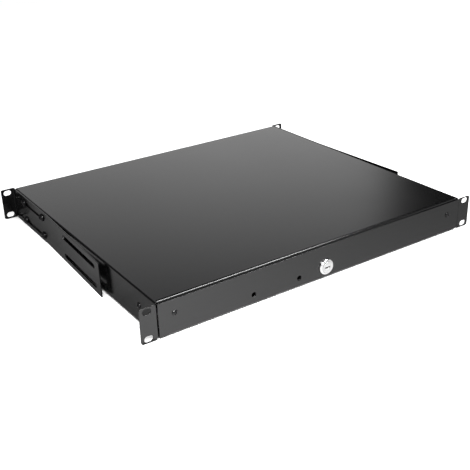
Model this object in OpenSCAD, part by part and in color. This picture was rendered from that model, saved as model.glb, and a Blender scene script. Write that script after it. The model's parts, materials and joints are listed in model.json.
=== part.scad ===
// Rack drawer, one unit high, with a locking front and sliding rear brackets.
// X runs to the right as seen from the front, Y runs rearwards and Z runs up.
// The origin is the middle of the front slot pattern, on the rail plane, where the
// back faces of the front ears lie. The drawer is drawn closed and unlocked.

/* [Rack pattern] */
// Width over the rack ears
rack_w = 482.6; // [478:0.1:500]
// Distance between the left and right slots
slot_pitch_x = 465.1; // [462:0.1:467]
// Distance between the lower and upper slots
slot_pitch_z = 31.75; // [28:0.05:33]
// Length of a rack slot
slot_len = 10.5; // [8:0.1:11]
// Height of a rack slot
slot_h = 7; // [5:0.1:7.5]

/* [Chassis] */
// Width of the chassis over its sides
body_w = 444.7; // [430:0.1:447]
// Distance of the chassis' rear edge from the rail plane
body_d = 397.2; // [340:0.1:500]
// Height of the top face above the middle of the slots
top_z = 21.7; // [21:0.1:22.2]
// Depth of the bottom edge below the middle of the slots
bottom_depth = 19.8; // [19.4:0.1:21]
// Thickness of the chassis sheet
sheet = 1.5; // [1.2:0.1:1.8]
// Inner radius of the chassis bends
bend_in_r = 0.5; // [0.3:0.1:1]
// Inner radius of the bend along the cover's front edge
lip_bend_in_r = 1.5; // [0.5:0.1:2]
// Height of the lip under the cover's front edge
lip_h = 8.2; // [7:0.1:9]
// Distance of the lip behind the rail plane
lip_set = 1.5; // [1:0.1:2.5]
// Width left open beside the lip at each corner
corner_relief = 3.3; // [2.8:0.1:5]
// Width of the inward flange along the bottom of each side
foot_flange_w = 11; // [8:0.5:12]
// Width of the inward flanges around the open back
back_flange_w = 12; // [9:0.5:13]
// Height of a front ear
front_ear_h = 41.1; // [40:0.1:43.6]
// Radius of the outer corners of the ears
ear_corner_r = 2.5; // [1:0.1:3]

/* [Rear panel] */
// Thickness of the rear panel
panel_t = 1.2; // [1:0.1:1.5]
// Distance of the panel's edges from the chassis' outer faces
panel_inset = 1; // [0.5:0.1:1.5]
// Diameter of the rear panel screws
panel_screw_d = 3.5; // [3:0.1:4]
// Diameter of the rear panel screws' heads
panel_head_d = 7; // [6:0.1:8]
// Length of the rear panel screws under the head
panel_screw_len = 6; // [5:0.5:8]

/* [Rear brackets] */
// Height of a rear bracket and its ear
bracket_h = 42.9; // [41:0.1:43.6]
// Length of a rear bracket in front of its ear
bracket_len = 284; // [270:1:300]
// Thickness of a rear bracket
bracket_t = 1.5; // [1.2:0.1:2]
// Length of the rear part that lies flat on the side
bracket_flat_len = 118; // [112:1:122]
// Angle by which the front part stands out, in degrees
bracket_flare = 2.1; // [1.8:0.1:3]
// Distance of the bracket's ear behind the chassis' rear edge
bracket_stickout = 2.3; // [1.5:0.1:6]
// Length of an adjusting slot
adjust_len = 98; // [90:1:100]
// Height of an adjusting slot
adjust_h = 5.8; // [5.4:0.1:6.4]
// Distance between the lower and upper adjusting slots
adjust_pitch = 25; // [22:0.5:26]
// Distance of the slots from the ear and from the bracket's front end
adjust_margin = 12; // [11:0.5:14]
// Diameter of the bracket screws
bracket_screw_d = 4.8; // [4:0.1:5]
// Diameter of the bracket screws' heads
bracket_head_d = 9; // [8:0.1:9.6]
// Height of the bracket screws' heads
bracket_head_h = 2.8; // [2.2:0.1:3.2]
// Distance from the chassis' rear edge to the rear bracket screws
bracket_screw_back = 36.7; // [34:0.1:40]
// Distance between the rear and front bracket screws
bracket_screw_pitch = 63; // [55:0.5:66]
// Diameter of the washers under the bracket screws
washer_d = 10; // [9.8:0.1:10.6]
// Thickness of those washers
washer_t = 0.9; // [0.8:0.1:1.2]
// Diameter of the nuts pressed into the sides
clinch_d = 9; // [8:0.1:9.4]
// Height of those nuts on the inside
clinch_h = 3; // [2:0.1:3.5]

/* [Slides] */
// Room that one slide takes between a side and the tray
slide_t = 12.7; // [12.5:0.1:14]
// Height of the outer slide member
slide_h = 27; // [25:0.5:29]
// Thickness of the slide members
rail_t = 1.2; // [1:0.1:1.3]
// Diameter of the bearing balls
ball_d = 3; // [2.8:0.1:3.2]
// Depth by which a ball sinks into each race
race_bite = 0.4; // [0.3:0.05:0.45]
// Clearance between a ball and its race or its cage
ball_clear = 0.1; // [0.08:0.01:0.15]
// Thickness of the ball cages
cage_t = 0.6; // [0.5:0.05:0.7]
// Gap between a ball cage's web and the members beside it
cage_gap = 0.6; // [0.4:0.05:0.65]
// Distance between balls along a cage
ball_pitch = 16.5; // [14:0.5:22]
// Width of metal beside a race
race_edge = 0.6; // [0.4:0.1:0.7]
// Distance of the slides behind the cover's lip
slide_set = 2; // [1:0.1:5]
// Diameter of the slides' fixing screws
slide_screw_d = 3.9; // [3:0.1:4]
// Diameter of those screws' heads
slide_head_d = 7; // [6:0.1:7.4]
// Height of those screws' heads
slide_head_h = 2; // [1.6:0.1:2.2]

/* [Drawer] */
// Thickness of the tray's sheet
tray_t = 1.2; // [1:0.1:1.5]
// Inner radius of the tray's bends
tray_bend_in_r = 0.8; // [0.5:0.1:1.5]
// Distance of the tray's back from the chassis' rear edge
tray_back_gap = 25; // [18:0.5:40]
// Clearance between the tray's rim and the cover's lip
rim_gap = 2; // [1:0.1:4]
// Gap beside the fascia at each side
fascia_gap = 0.45; // [0.4:0.05:1]
// Thickness of the fascia
fascia_t = 1.5; // [1.2:0.1:2]
// Distance by which the fascia stands proud of the ears
fascia_proud = 0.6; // [0.4:0.1:1]
// Distance of the fascia's top edge below the cover's top face
fascia_top_drop = 1.5; // [1.5:0.1:2.5]
// Depth of the flange under the fascia
fascia_flange = 10; // [8:0.5:14]
// Length of the relief at each end of that flange
fascia_relief = 10; // [9.5:0.5:14]
// Height of that relief
fascia_relief_h = 0.7; // [0.5:0.1:0.9]
// Distance of the fascia screws from the fascia's ends
fascia_screw_inset = 19.4; // [18.5:0.1:26]
// Height of the fascia screws above the middle of the slots
fascia_screw_z = 4; // [0:0.1:6]
// Diameter of the fascia screws
fascia_screw_d = 3.9; // [3:0.1:4]
// Diameter of the fascia screws' heads
fascia_head_d = 7.2; // [6.4:0.1:8]
// Height of the fascia screws' heads
fascia_head_h = 2.2; // [1.8:0.1:2.6]
// Width across the flats of the fascia nuts
fascia_nut_w = 7; // [6.5:0.1:8]
// Height of the fascia nuts
fascia_nut_h = 3.2; // [2.4:0.1:3.6]
// Diameter of the two holes for a handle
pull_hole_d = 6; // [4:0.1:6.5]
// Distance between those holes
pull_pitch = 63; // [60:0.5:66]
// Distance of their middle to the left of the middle plane
pull_x = 70.3; // [60:0.1:90]
// Depth of those holes below the middle of the slots
pull_depth = 8.8; // [6:0.1:10]

/* [Lock] */
// Depth of the lock's axis below the middle of the slots
lock_depth = 6; // [5:0.1:7]
// Diameter of the lock's front flange
lock_flange_d = 19.6; // [18.5:0.1:20]
// Height of the lock's front flange
lock_flange_h = 3.2; // [2.5:0.1:4]
// Height of the straight rim under the flange's bevel
lock_rim_h = 0.8; // [0.6:0.1:1.2]
// Diameter of the flange's face in front of the bevel
lock_face_d = 14.4; // [14.2:0.1:17]
// Diameter of the lock's threaded body
lock_body_d = 15.8; // [15.4:0.1:16]
// Width across the flats of that body
lock_flat_w = 13.8; // [13.6:0.1:14]
// Distance of the body's end behind the fascia's back face
lock_reach = 8.6; // [8.2:0.1:10]
// Clearance of the lock body in the drawer front
lock_fit = 0.1; // [0.1:0.05:0.2]
// Diameter of the turning plug
plug_d = 11.6; // [11.4:0.1:12]
// Diameter of the plug's head
plug_head_d = 13.6; // [13:0.1:14]
// Height of the plug's head
plug_head_h = 1.6; // [1.2:0.1:2]
// Height by which the plug's head stands out of the flange
plug_proud = 0.4; // [0.2:0.1:0.8]
// Running clearance around the plug
plug_fit = 0.08; // [0.05:0.01:0.1]
// Width across the plug's square end
tang_w = 7; // [6.4:0.1:7.4]
// Length of the keyway across the plug's face
keyway_l = 7; // [6:0.1:7.6]
// Width of the keyway
keyway_w = 1.5; // [1.2:0.1:1.8]
// Thickness of a wafer
wafer_t = 1; // [0.8:0.05:1.1]
// Distance between wafers
wafer_pitch = 2; // [1.8:0.1:2.1]
// Number of wafers
wafer_count = 4; // [2:1:4]
// Width across the flats of the lock nut
lock_nut_w = 20; // [19:0.1:21]
// Height of the lock nut
lock_nut_h = 2.6; // [2:0.1:2.8]
// Width of the cam
cam_w = 12; // [11:0.1:13]
// Thickness of the cam
cam_t = 2; // [1.6:0.1:2.2]
// Gap left above the cam when it points up
cam_top_gap = 1.2; // [1:0.1:2]
// Gap between the cam's tip and the lip when it points up
cam_lip_gap = 1; // [0.8:0.1:1.5]
// Diameter of the stop washer
stop_d = 12; // [11:0.1:13]
// Thickness of the stop washer
stop_t = 1; // [0.8:0.1:1.2]
// Diameter of the cam screw
cam_screw_d = 3.9; // [3:0.1:4]
// Diameter of the cam screw's head
cam_head_d = 8; // [7:0.1:9]
// Height of the cam screw's head
cam_head_h = 2.4; // [2:0.1:3]

/* [Hidden] */

$fn = 48;
// Overrun of every cut past the face it opens
over = 1;
// Radial clearance of a screw in a threaded hole
thread_gap = 0.05;
// Radial clearance of a screw in a plain hole
hole_gap = 0.2;
// Running gap between parts that slide past each other
slide_gap = 0.5;

// Shares of a pan head's diameter: the dome's radius and the recess' length and width
dome_share = 0.85;
recess_len_share = 0.55;
recess_w_share = 0.2;
// Share of a pan head's height that the recess is deep
recess_depth_share = 0.5;
// Share of the way across a rear flange at which its screws stand
flange_screw_share = 0.6;
// Share of the bottom depth at which the side flanges' screws stand
low_screw_share = 0.5;
// Height of the rear panel screws' heads as a share of the room behind the panel
panel_head_share = 1.4;
// Starts and lengths of the ball cages as shares of the slide's length
cage_start_share = 0.26;
cage_len_share = 0.46;
// Places of the fixing screws along a slide, as shares of its length
outer_screw_shares = [0.11, 0.64];
inner_screw_shares = [0.16, 0.72];
// Share of the slide's height that the stop tab takes
stop_tab_share = 0.52;
// Shares of the plug's diameter that a wafer is wide and long
wafer_w_share = 0.38;
wafer_l_share = 0.9;
// Length of the cam's jog as a share of its offset
cam_jog_share = 0.6;
// Angle by which the fascia screws' recesses are turned
recess_turn = 20;

black = [0.05, 0.05, 0.055];
zinc = [0.72, 0.73, 0.75];
chrome = [0.85, 0.85, 0.86];
brass = [0.78, 0.62, 0.30];

half_w = body_w / 2;
inner_w = half_w - sheet;
bottom_z = -bottom_depth;
body_h = top_z + bottom_depth;
bend_r = bend_in_r + sheet;
lip_r = lip_bend_in_r + sheet;
lip_z = top_z - lip_h;
lip_back = lip_set + sheet;
tube_front = lip_set + lip_r;
tube_back = body_d - bend_r;
// The straight height of a side between its upper and lower bends
side_bottom_z = bottom_z + bend_r;
side_top_z = top_z - bend_r;

// Places of the slide's layers, counted inwards from the chassis' inner face
outer_cage_u = rail_t + cage_gap;
middle_u = outer_cage_u + cage_t + cage_gap;
inner_cage_u = middle_u + rail_t + cage_gap;
inner_web_u = slide_t - rail_t;
outer_ball_u = middle_u + rail_t + cage_gap + ball_d / 2 - race_bite / 2;
inner_ball_u = inner_web_u - race_edge - ball_d / 2 + ball_clear * 2;
// Heights of the slide's layers, counted from its middle
outer_ball_w = slide_h / 2 - rail_t - ball_d / 2 + race_bite;
middle_half = outer_ball_w - ball_d / 2 + race_bite;
inner_ball_w = middle_half - rail_t - ball_d / 2 + race_bite;
inner_half = inner_ball_w - ball_d / 2 + race_bite;
slide_z = lip_z - middle_half - slide_gap * 2;
slide_front = lip_back + slide_set;
bracket_screw_ys = [body_d - bracket_screw_back - bracket_screw_pitch, body_d - bracket_screw_back];
slide_back = bracket_screw_ys[0] - clinch_d / 2 - slide_gap * 4;
slide_len = slide_back - slide_front;
short_len = slide_len - rail_t - slide_gap;
cage_front = slide_front + slide_len * cage_start_share;
cage_len = slide_len * cage_len_share;
ball_count = floor((cage_len - ball_d * 2) / ball_pitch) + 1;

tray_half = inner_w - slide_t;
tray_bottom = bottom_z + fascia_t;
tray_top = lip_z - rim_gap;
fascia_front = -sheet - fascia_proud;
fascia_back = fascia_front + fascia_t;
tray_inner_front = fascia_back + tray_t;
tray_back = body_d - tray_back_gap;
fascia_half = inner_w - fascia_gap;
fascia_top = top_z - fascia_top_drop;
fascia_screw_x = fascia_half - fascia_screw_inset;

ear_y = body_d + bracket_stickout;
bracket_front = ear_y - bracket_len;
bracket_kink = ear_y - bracket_flat_len;
adjust_z = adjust_pitch / 2;

lock_z = -lock_depth;
lock_end = fascia_back + lock_reach;
cam_back_y = lock_end + hole_gap;
cam_reach = top_z - sheet - cam_top_gap - lock_z;
cam_tip_y = lip_back + cam_lip_gap;
lock_len = lock_end - fascia_front;
plug_face = lock_flange_h + plug_proud;
head_seat = plug_face - plug_head_h;
wafer_w = plug_d * wafer_w_share;
wafer_l = plug_d * wafer_l_share;
tang_len = cam_back_y + cam_t + stop_t - lock_end;
keyway_depth = wafer_pitch * (wafer_count + 1) + plug_head_h;
cam_jog_start = lock_nut_w / sqrt(3) + slide_gap * 2;
cam_jog_end = cam_jog_start + (cam_back_y - cam_tip_y) * cam_jog_share;
cam_end_x = cam_reach - cam_w / 4;

// A bar with round ends along X, made of exact rounds
module round_bar(len, dia, h) {
    for (s = [-1, 1]) translate([s * (len - dia) / 2, 0, 0]) cylinder(d = dia, h = h, center = true);
    cube([len - dia, dia, h], center = true);
}

// One rack slot, cut along Y
module rack_slot(t) {
    rotate([90, 0, 0]) round_bar(slot_len, slot_h, t + over * 2);
}

// A quarter of a folded edge: a ring sector between the axes
module bend(inner_r, t) {
    difference() {
        intersection() {
            circle(r = inner_r + t);
            square(inner_r + t);
        }
        circle(r = inner_r);
    }
}

// A rectangle with four round corners, centred on the origin
module round_rect(w, h, r) {
    square([w - r * 2, h], center = true);
    square([w, h - r * 2], center = true);
    for (x = [-1, 1], y = [-1, 1]) translate([x * (w / 2 - r), y * (h / 2 - r)]) circle(r = r);
}

// Extrudes a drawing of X and Z along Y
module along_y(y0, y1) {
    translate([0, y1, 0]) rotate([90, 0, 0]) linear_extrude(y1 - y0) children();
}

// Extrudes a drawing of Y and Z along X
module along_x(x0, x1) {
    translate([x0, 0, 0]) rotate([90, 0, 90]) linear_extrude(x1 - x0) children();
}

module both_sides() {
    children();
    mirror([1, 0, 0]) children();
}

// A pan head standing on Z = 0 with a cross recess, and its shank below
module pan_screw(head_d, head_h, shank_d, shank_len) {
    dome_r = head_d * dome_share;
    recess = [head_d * recess_len_share, head_d * recess_w_share, head_h * recess_depth_share * 2];
    difference() {
        intersection() {
            cylinder(d = head_d, h = head_h);
            translate([0, 0, head_h - dome_r]) sphere(r = dome_r);
        }
        for (a = [45, 135]) rotate([0, 0, a]) translate([0, 0, head_h]) cube(recess, center = true);
    }
    translate([0, 0, -shank_len]) cylinder(d = shank_d, h = shank_len + head_h / 3);
}

module hex_nut(width, h, bore_d) {
    difference() {
        cylinder(d = width * 2 / sqrt(3), h = h, $fn = 6);
        translate([0, 0, -over]) cylinder(d = bore_d, h = h + over * 2);
    }
}

// Chassis

module chassis_section() {
    difference() {
        translate([0, (top_z + bottom_z) / 2]) difference() {
            round_rect(body_w, body_h, bend_r);
            round_rect(body_w - sheet * 2, body_h - sheet * 2, bend_in_r);
        }
        translate([-(half_w - foot_flange_w), bottom_z - over])
            square([(half_w - foot_flange_w) * 2, sheet + bend_in_r + over]);
    }
}

// The folded sheet's sides with the corner bends, without the top between them
module chassis_side_section() {
    difference() {
        chassis_section();
        translate([-(half_w - corner_relief), bottom_z - over])
            square([(half_w - corner_relief) * 2, body_h + over * 2]);
    }
}

module front_lip_section() {
    translate([lip_set + lip_r, top_z - lip_r]) mirror([1, 0]) bend(lip_bend_in_r, sheet);
    translate([lip_set, lip_z]) square([sheet, lip_h - lip_r]);
}

module back_lip_section() {
    translate([tube_back, side_top_z]) bend(bend_in_r, sheet);
    translate([body_d - sheet, top_z - back_flange_w]) square([sheet, back_flange_w - bend_r]);
}

// An ear and the bend that joins it to the right side, drawn in X and Y
module front_ear_bend() {
    translate([half_w + bend_in_r, bend_in_r]) rotate(180) bend(bend_in_r, sheet);
}

module back_side_flange() {
    translate([half_w - bend_r, tube_back]) bend(bend_in_r, sheet);
    translate([half_w - back_flange_w, body_d - sheet]) square([back_flange_w - bend_r, sheet]);
}

// The flat of an ear, standing in X and Z, from its bend at x0 to the rack width
module ear_plate(x0, h, t) {
    difference() {
        translate([0, t, 0]) rotate([90, 0, 0]) linear_extrude(t) difference() {
            translate([x0, -h / 2]) square([rack_w / 2 - x0, h]);
            for (s = [-1, 1]) translate([rack_w / 2, s * h / 2]) difference() {
                square(ear_corner_r * 2, center = true);
                translate([-ear_corner_r, -s * ear_corner_r]) circle(r = ear_corner_r);
            }
        }
        for (s = [-1, 1]) translate([slot_pitch_x / 2, t / 2, s * slot_pitch_z / 2]) rack_slot(t);
    }
}

module chassis_shell() {
    color(black) difference() {
        union() {
            along_y(tube_front, tube_back) chassis_section();
            along_y(bend_in_r, tube_front) chassis_side_section();
            along_x(corner_relief - half_w, half_w - corner_relief) {
                front_lip_section();
                back_lip_section();
            }
            both_sides() {
                translate([0, 0, side_bottom_z]) linear_extrude(side_top_z - side_bottom_z) front_ear_bend();
                translate([0, -sheet, 0]) ear_plate(half_w + bend_in_r, front_ear_h, sheet);
                translate([0, 0, side_bottom_z])
                    linear_extrude(top_z - back_flange_w - sheet - side_bottom_z) back_side_flange();
            }
        }
        both_sides() {
            slide_fixing_places(outer_screw_shares) cylinder(d = slide_screw_d + hole_gap * 2, h = slide_t);
            bracket_screw_places() translate([0, 0, -sheet - over])
                cylinder(d = bracket_screw_d + hole_gap * 2, h = sheet + over * 2);
        }
        panel_screw_places() cylinder(d = panel_screw_d + thread_gap * 2, h = sheet * 4, center = true);
    }
}

// Rear panel

module panel_screw_places() {
    inset = back_flange_w * flange_screw_share;
    for (x = [-1, 0, 1]) translate([x * body_w / 3, body_d, top_z - inset]) rotate([-90, 0, 0]) children();
    for (x = [-1, 1]) translate([x * (half_w - inset), body_d, bottom_z * low_screw_share])
        rotate([-90, 0, 0]) children();
}

module rear_panel() {
    w = (half_w - panel_inset) * 2;
    h = body_h - panel_inset * 2 - sheet;
    color(black) difference() {
        translate([0, 0, bottom_z + panel_inset + h / 2]) along_y(body_d, body_d + panel_t)
            square([w, h], center = true);
        panel_screw_places() cylinder(d = panel_screw_d + hole_gap * 2, h = panel_t * 4, center = true);
    }
}

module rear_panel_screws() {
    head_h = (bracket_stickout - panel_t) * panel_head_share;
    color(black) panel_screw_places() translate([0, 0, panel_t])
        pan_screw(panel_head_d, head_h, panel_screw_d, panel_screw_len);
}

// Rear brackets

// The places of the bracket screws on the right side, with Z pointing outwards
module bracket_screw_places() {
    for (y = bracket_screw_ys, s = [-1, 1])
        translate([half_w, y, s * adjust_z]) rotate([0, 90, 0]) children();
}

// An adjusting slot through the right bracket, its front end at Y = 0
module adjust_slot() {
    translate([0, adjust_len / 2, 0]) rotate([0, 90, 0]) rotate([0, 0, 90])
        round_bar(adjust_len, adjust_h, (bracket_t + bend_in_r + over) * 2);
}

module right_bracket_shape() {
    flare_len = bracket_len - bracket_flat_len;
    mid_x = bracket_t / 2;
    difference() {
        union() {
            translate([0, 0, -bracket_h / 2]) linear_extrude(bracket_h) {
                translate([half_w, bracket_kink]) square([bracket_t, bracket_flat_len - bend_in_r]);
                translate([half_w + bracket_t + bend_in_r, ear_y - bend_in_r]) mirror([1, 0])
                    bend(bend_in_r, bracket_t);
                translate([half_w, bracket_kink]) rotate(bracket_flare) translate([0, -flare_len])
                    square([bracket_t, flare_len]);
            }
            translate([0, ear_y, 0]) ear_plate(half_w + bracket_t + bend_in_r, bracket_h, bracket_t);
        }
        for (s = [-1, 1]) {
            translate([half_w + mid_x, ear_y - adjust_margin - adjust_len, s * adjust_z]) adjust_slot();
            translate([half_w, bracket_kink, 0]) rotate([0, 0, bracket_flare])
                translate([mid_x, adjust_margin - flare_len, s * adjust_z]) adjust_slot();
        }
    }
}

module right_rear_bracket() {
    color(black) right_bracket_shape();
}

module left_rear_bracket() {
    color(black) mirror([1, 0, 0]) right_bracket_shape();
}

module bracket_screws() {
    color(black) both_sides() bracket_screw_places() translate([0, 0, bracket_t + washer_t])
        pan_screw(bracket_head_d, bracket_head_h, bracket_screw_d, bracket_t + washer_t + sheet + clinch_h);
}

module bracket_washers() {
    color(black) both_sides() bracket_screw_places() translate([0, 0, bracket_t]) difference() {
        cylinder(d = washer_d, h = washer_t);
        translate([0, 0, -over]) cylinder(d = bracket_screw_d + hole_gap * 2, h = washer_t + over * 2);
    }
}

module bracket_clinch_nuts() {
    color(zinc) both_sides() bracket_screw_places() translate([0, 0, -sheet - clinch_h]) difference() {
        cylinder(d = clinch_d, h = clinch_h);
        translate([0, 0, -over]) cylinder(d = bracket_screw_d + thread_gap * 2, h = clinch_h + over * 2);
    }
}

// Slides, drawn for the right side in U, inwards from the chassis, and W, up from the middle

// Extrudes a drawing of U and W along the slide
module slide_run(y0, y1) {
    translate([inner_w, 0, slide_z]) along_y(y0, y1) mirror([1, 0]) children();
}

// Places on the right slide at shares of its length, with Z pointing inwards from the chassis' inner face
module slide_fixing_places(shares) {
    for (share = shares) translate([inner_w, slide_front + slide_len * share, slide_z]) rotate([0, -90, 0])
        translate([0, 0, -sheet - over]) children();
}

module race(u, w) {
    for (s = [-1, 1]) translate([u, s * w]) circle(d = ball_d + ball_clear * 2);
}

// A channel section: a web at web_u and two flanges from u0 to u1
module channel(web_u, u0, u1, half_h, t) {
    translate([web_u, -half_h]) square([t, half_h * 2]);
    for (w = [-half_h, half_h - t]) translate([u0, w]) square([u1 - u0, t]);
}

module outer_slide_shape() {
    end_u = outer_ball_u + ball_d / 2 + race_edge;
    difference() {
        union() {
            slide_run(slide_front, slide_back) difference() {
                channel(0, 0, end_u, slide_h / 2, rail_t);
                race(outer_ball_u, outer_ball_w);
            }
            slide_run(slide_back - rail_t, slide_back) translate([0, -slide_h * stop_tab_share / 2])
                square([end_u, slide_h * stop_tab_share]);
        }
        slide_fixing_places(outer_screw_shares) cylinder(d = slide_screw_d + thread_gap * 2, h = slide_t / 2);
    }
}

module middle_slide_shape() {
    slide_run(slide_front, slide_front + short_len) difference() {
        channel(middle_u, middle_u, inner_ball_u + ball_d / 2 + race_edge, middle_half, rail_t);
        race(outer_ball_u, outer_ball_w);
        race(inner_ball_u, inner_ball_w);
    }
}

module inner_slide_shape() {
    difference() {
        slide_run(slide_front, slide_front + short_len) difference() {
            channel(inner_web_u, inner_ball_u - ball_d / 2 - race_edge, slide_t, inner_half, rail_t);
            race(inner_ball_u, inner_ball_w);
        }
        slide_fixing_places(inner_screw_shares) cylinder(d = slide_screw_d + thread_gap * 2, h = slide_t * 2);
    }
}

// The centres of one cage's balls at u and w, on both rows
module ball_places(u, w) {
    first = cage_front + (cage_len - (ball_count - 1) * ball_pitch) / 2;
    for (i = [0:ball_count - 1], s = [-1, 1])
        translate([inner_w - u, first + i * ball_pitch, slide_z + s * w]) children();
}

module cage_shape(web_u, ball_u, ball_w) {
    difference() {
        slide_run(cage_front, cage_front + cage_len)
            channel(web_u, web_u, ball_u + ball_d / 2 + race_edge, ball_w + cage_t / 2, cage_t);
        ball_places(ball_u, ball_w) cylinder(d = ball_d + ball_clear * 2, h = cage_t + over, center = true);
    }
}

module ball_row(ball_u, ball_w) {
    ball_places(ball_u, ball_w) sphere(d = ball_d);
}

module right_outer_slide() {
    color(zinc) outer_slide_shape();
}

module left_outer_slide() {
    color(zinc) mirror([1, 0, 0]) outer_slide_shape();
}

module right_middle_slide() {
    color(zinc) middle_slide_shape();
}

module left_middle_slide() {
    color(zinc) mirror([1, 0, 0]) middle_slide_shape();
}

module right_inner_slide() {
    color(zinc) inner_slide_shape();
}

module left_inner_slide() {
    color(zinc) mirror([1, 0, 0]) inner_slide_shape();
}

module right_outer_ball_cage() {
    color(zinc) cage_shape(outer_cage_u, outer_ball_u, outer_ball_w);
}

module left_outer_ball_cage() {
    color(zinc) mirror([1, 0, 0]) cage_shape(outer_cage_u, outer_ball_u, outer_ball_w);
}

module right_inner_ball_cage() {
    color(zinc) cage_shape(inner_cage_u, inner_ball_u, inner_ball_w);
}

module left_inner_ball_cage() {
    color(zinc) mirror([1, 0, 0]) cage_shape(inner_cage_u, inner_ball_u, inner_ball_w);
}

module right_outer_balls() {
    color(chrome) ball_row(outer_ball_u, outer_ball_w);
}

module left_outer_balls() {
    color(chrome) mirror([1, 0, 0]) ball_row(outer_ball_u, outer_ball_w);
}

module right_inner_balls() {
    color(chrome) ball_row(inner_ball_u, inner_ball_w);
}

module left_inner_balls() {
    color(chrome) mirror([1, 0, 0]) ball_row(inner_ball_u, inner_ball_w);
}

module slide_fixing_screws() {
    color(black) both_sides() slide_fixing_places(outer_screw_shares)
        translate([0, 0, over]) rotate([180, 0, 0])
            pan_screw(slide_head_d, slide_head_h, slide_screw_d, sheet + rail_t + cage_gap / 2);
}

module inner_slide_screws() {
    color(black) both_sides() slide_fixing_places(inner_screw_shares)
        translate([0, 0, over + sheet + slide_t + tray_t])
            pan_screw(slide_head_d, slide_head_h, slide_screw_d, tray_t + rail_t + cage_gap);
}

// Drawer

// A U section that is open at the top, with its bottom on bottom_z
module u_section(x0, x1, t) {
    outer_r = tray_bend_in_r + t;
    h = tray_top - tray_bottom;
    translate([x0, tray_bottom]) difference() {
        union() {
            translate([0, outer_r]) square([x1 - x0, h - outer_r]);
            translate([outer_r, 0]) square([x1 - x0 - outer_r * 2, outer_r * 2]);
            for (x = [outer_r, x1 - x0 - outer_r]) translate([x, outer_r]) circle(r = outer_r);
        }
        translate([t, t + tray_bend_in_r]) square([x1 - x0 - t * 2, h]);
        translate([outer_r, t]) square([x1 - x0 - outer_r * 2, tray_bend_in_r * 2]);
        for (x = [outer_r, x1 - x0 - outer_r]) translate([x, outer_r]) circle(r = tray_bend_in_r);
    }
}

// The opening for the lock's body, a round with two flats above and below
module lock_body_outline(clear) {
    intersection() {
        circle(d = lock_body_d + clear * 2);
        square([lock_body_d + over, lock_flat_w + clear * 2], center = true);
    }
}

module fascia_screw_places() {
    for (s = [-1, 1])
        translate([s * fascia_screw_x, fascia_front, fascia_screw_z]) rotate([90, 0, 0]) children();
}

// The holes through the drawer front, shared by the fascia and the tray
module front_holes() {
    front_t = fascia_t + tray_t;
    fascia_screw_places() translate([0, 0, -front_t - over])
        cylinder(d = fascia_screw_d + hole_gap * 2, h = front_t + over * 2);
    for (s = [-1, 1]) translate([-pull_x + s * pull_pitch / 2, fascia_front - over, -pull_depth])
        rotate([-90, 0, 0]) cylinder(d = pull_hole_d, h = front_t + over * 2);
    translate([0, 0, lock_z]) along_y(fascia_front - over, tray_inner_front + over)
        lock_body_outline(lock_fit);
}

module drawer_tray() {
    outer_r = tray_bend_in_r + tray_t;
    color(black) difference() {
        union() {
            along_y(fascia_back + outer_r, tray_back - outer_r) u_section(-tray_half, tray_half, tray_t);
            along_x(outer_r - tray_half, tray_half - outer_r) u_section(fascia_back, tray_back, tray_t);
        }
        front_holes();
        both_sides() slide_fixing_places(inner_screw_shares)
            cylinder(d = slide_screw_d + hole_gap * 2, h = slide_t * 2);
    }
}

module drawer_fascia() {
    outer_r = bend_in_r + fascia_t;
    flange_x = fascia_half - fascia_relief;
    color(black) difference() {
        union() {
            along_x(-fascia_half, fascia_half) translate([fascia_front, bottom_z + outer_r])
                square([fascia_t, fascia_top - bottom_z - outer_r]);
            for (s = [-1, 1]) translate([s * (fascia_half - fascia_relief / 2), 0, 0])
                along_x(-fascia_relief / 2, fascia_relief / 2)
                    translate([fascia_front, bottom_z + fascia_relief_h]) square([fascia_t, outer_r]);
            along_x(-flange_x, flange_x) {
                translate([fascia_front + outer_r, bottom_z + outer_r]) rotate(180) bend(bend_in_r, fascia_t);
                translate([fascia_front + outer_r, bottom_z]) square([fascia_flange - outer_r, fascia_t]);
            }
        }
        front_holes();
    }
}

module fascia_screws() {
    color(black) fascia_screw_places() rotate([0, 0, recess_turn])
        pan_screw(fascia_head_d, fascia_head_h, fascia_screw_d, fascia_t + tray_t + fascia_nut_h + slide_gap);
}

module fascia_nuts() {
    color(zinc) fascia_screw_places() translate([0, 0, -fascia_t - tray_t - fascia_nut_h])
        hex_nut(fascia_nut_w, fascia_nut_h, fascia_screw_d + thread_gap * 2);
}

// Lock, drawn on its axis with Z pointing out of the front, Z = 0 on the fascia's face

module lock_place() {
    translate([0, fascia_front, lock_z]) rotate([90, 0, 0]) children();
}

module lock_housing() {
    color(chrome) lock_place() difference() {
        union() {
            cylinder(d = lock_flange_d, h = lock_rim_h);
            translate([0, 0, lock_rim_h])
                cylinder(d1 = lock_flange_d, d2 = lock_face_d, h = lock_flange_h - lock_rim_h);
            translate([0, 0, -lock_len]) linear_extrude(lock_len) lock_body_outline(0);
        }
        translate([0, 0, -lock_len - over])
            cylinder(d = plug_d + plug_fit * 2, h = lock_len + lock_flange_h + over * 2);
        translate([0, 0, head_seat - plug_fit])
            cylinder(d = plug_head_d + plug_fit * 2, h = plug_head_h + over);
    }
}

module lock_nut() {
    color(chrome) lock_place() translate([0, 0, -fascia_t - tray_t - lock_nut_h])
        hex_nut(lock_nut_w, lock_nut_h, lock_body_d + thread_gap * 2);
}

// The places of the wafers along the plug, behind its head
module wafer_places() {
    for (i = [1:wafer_count]) translate([0, 0, head_seat - wafer_pitch * i]) children();
}

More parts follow.
